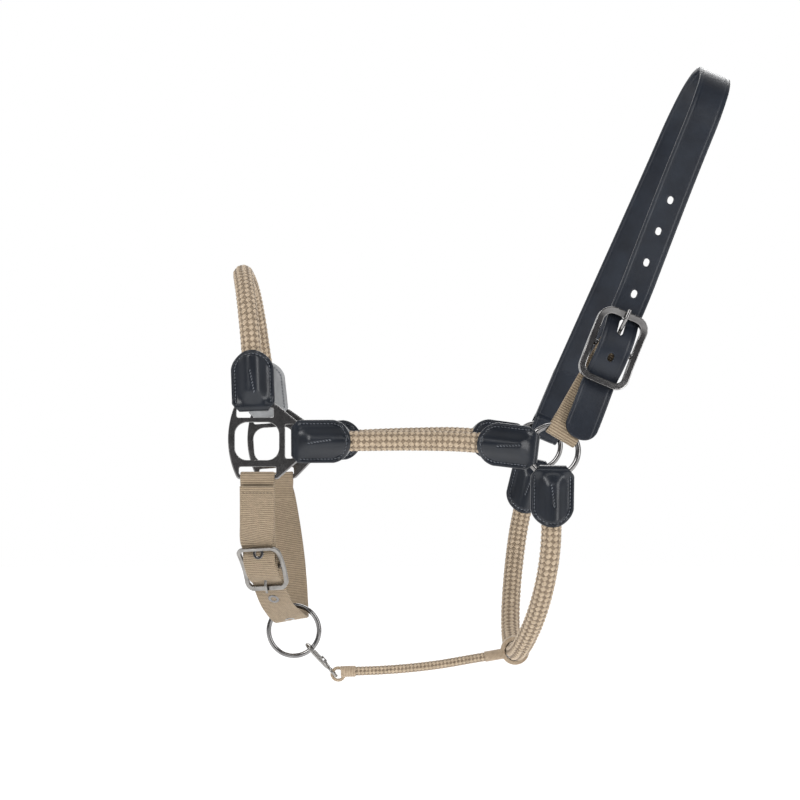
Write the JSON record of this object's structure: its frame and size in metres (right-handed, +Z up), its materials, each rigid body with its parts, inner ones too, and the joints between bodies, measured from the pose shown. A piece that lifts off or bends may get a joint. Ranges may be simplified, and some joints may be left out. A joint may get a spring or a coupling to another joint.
{
  "type": "rope halter",
  "caption": "Rope and webbing horse halter with leather-covered rope ends, square cheek fittings, ring joints, buckled crown and chin straps, and a throat cord with a snap.",
  "frame": {"origin": "underside of the crown strap at its highest point, where it lies behind the horse's ears", "axes": "+Z up, -X towards the horse's nose, -Y towards its near (left) side"},
  "size_m": [0.3701, 0.1689, 0.4612],
  "materials": {
    "rope": "braided cotton rope, tan with darker brown between the strands",
    "cord": "thin braided cord, tan",
    "webbing": "cross-ribbed cotton webbing, khaki tan",
    "leather": "semi-gloss leather, very dark navy black",
    "dark_metal": "polished dark gunmetal",
    "satin_nickel": "satin nickel"
  },
  "bodies": {
    "crown": {"crown_strap": "leather", "crown_buckle_chape": "webbing", "crown_buckle_frame": "dark_metal"},
    "noseband": {"nose_rope": "rope", "throat_rope": "rope", "near_cheek_rope": "rope", "far_cheek_rope": "rope", "connector_cord": "cord", "connector_front_loop": "cord", "connector_rear_loop": "cord", "near_square": "dark_metal", "far_square": "dark_metal", "chin_buckle_frame": "satin_nickel", "chin_top_eyelet": "dark_metal", "chin_middle_eyelet": "dark_metal", "chin_low_eyelet": "dark_metal", "snap_hook": "satin_nickel", "snap_pin": "satin_nickel", "chin_buckle_chape": "webbing", "chin_strap": "webbing", "near_nose_keeper": "leather", "far_nose_keeper": "leather", "near_cheek_front_keeper": "leather", "far_cheek_front_keeper": "leather", "near_cheek_rear_keeper": "leather", "far_cheek_rear_keeper": "leather", "near_throat_keeper": "leather", "far_throat_keeper": "leather"},
    "near_ring": {"near_cheek_ring": "dark_metal"},
    "far_ring": {"far_cheek_ring": "dark_metal"},
    "crown_tongue": {"crown_buckle_tongue": "dark_metal"},
    "chin_tongue": {"chin_buckle_tongue": "satin_nickel"},
    "chin_ring": {"chin_ring": "dark_metal"},
    "snap_gate": {"snap_gate": "satin_nickel"}
  },
  "joints": [
    {"name": "noseband_lift", "type": "hinge", "parent": "crown", "child": "noseband", "pos_m": [-0.1241, 0, -0.2782], "axis": [0, 1, 0], "range_deg": [0, 6]},
    {"name": "near_ring_spin", "type": "hinge", "parent": "crown", "child": "near_ring", "pos_m": [-0.1241, -0.075, -0.2782], "axis": [0, 1, 0], "continuous": true},
    {"name": "far_ring_spin", "type": "hinge", "parent": "crown", "child": "far_ring", "pos_m": [-0.1241, 0.075, -0.2782], "axis": [0, 1, 0], "continuous": true},
    {"name": "chin_ring_spin", "type": "hinge", "parent": "noseband", "child": "chin_ring", "pos_m": [-0.3127, 0, -0.4153], "axis": [0, 1, 0], "continuous": true},
    {"name": "crown_tongue_lift", "type": "hinge", "parent": "crown", "child": "crown_tongue", "pos_m": [-0.08143, -0.07187, -0.20569], "axis": [0.9189, 0.0698, -0.3882], "range_deg": [0, 3]},
    {"name": "chin_tongue_lift", "type": "hinge", "parent": "noseband", "child": "chin_tongue", "pos_m": [-0.3325, -0.04347, -0.36319], "axis": [0.9386, -0.3372, 0.0737], "range_deg": [-3, 0]},
    {"name": "snap_gate_open", "type": "hinge", "parent": "noseband", "child": "snap_gate", "pos_m": [-0.2923, 0.0054, -0.43702], "axis": [0.729, 0, 0.6845], "range_deg": [-24, 0], "stiffness_Nm_per_rad": 0.002}
  ]
}
